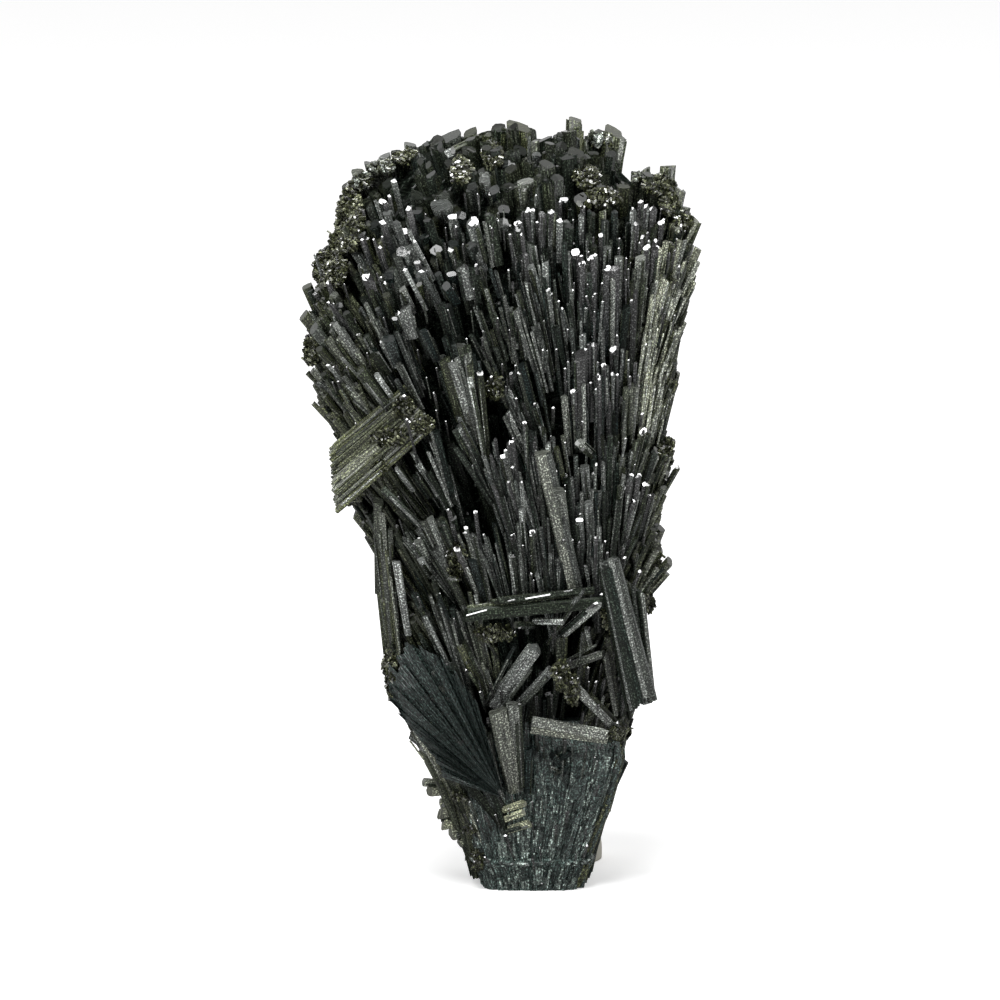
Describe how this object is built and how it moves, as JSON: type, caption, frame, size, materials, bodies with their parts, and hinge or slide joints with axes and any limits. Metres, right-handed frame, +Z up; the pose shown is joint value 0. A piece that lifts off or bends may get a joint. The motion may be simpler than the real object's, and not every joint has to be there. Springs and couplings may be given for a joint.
{
  "type": "epidote crystal specimen",
  "caption": "Upright fan-shaped spray of dark green lath-like crystals on a narrow broken foot, steadied from behind by a small dab of putty.",
  "frame": {"origin": "middle of the foot's flat underside, on the surface that the specimen stands on", "axes": "+Z up along the spray, -Y towards the front with the crossing bar crystal, +X to the right seen from the front"},
  "size_m": [0.0459, 0.0322, 0.089],
  "materials": {
    "epidote": "glassy, dark green-black crystal faces with fine lengthwise striations, olive at thin rims and ends",
    "putty": "smooth matte off-white display putty"
  },
  "bodies": {
    "root": {"epidote_crystal_spray": "epidote", "support_putty": "putty"}
  },
  "joints": []
}
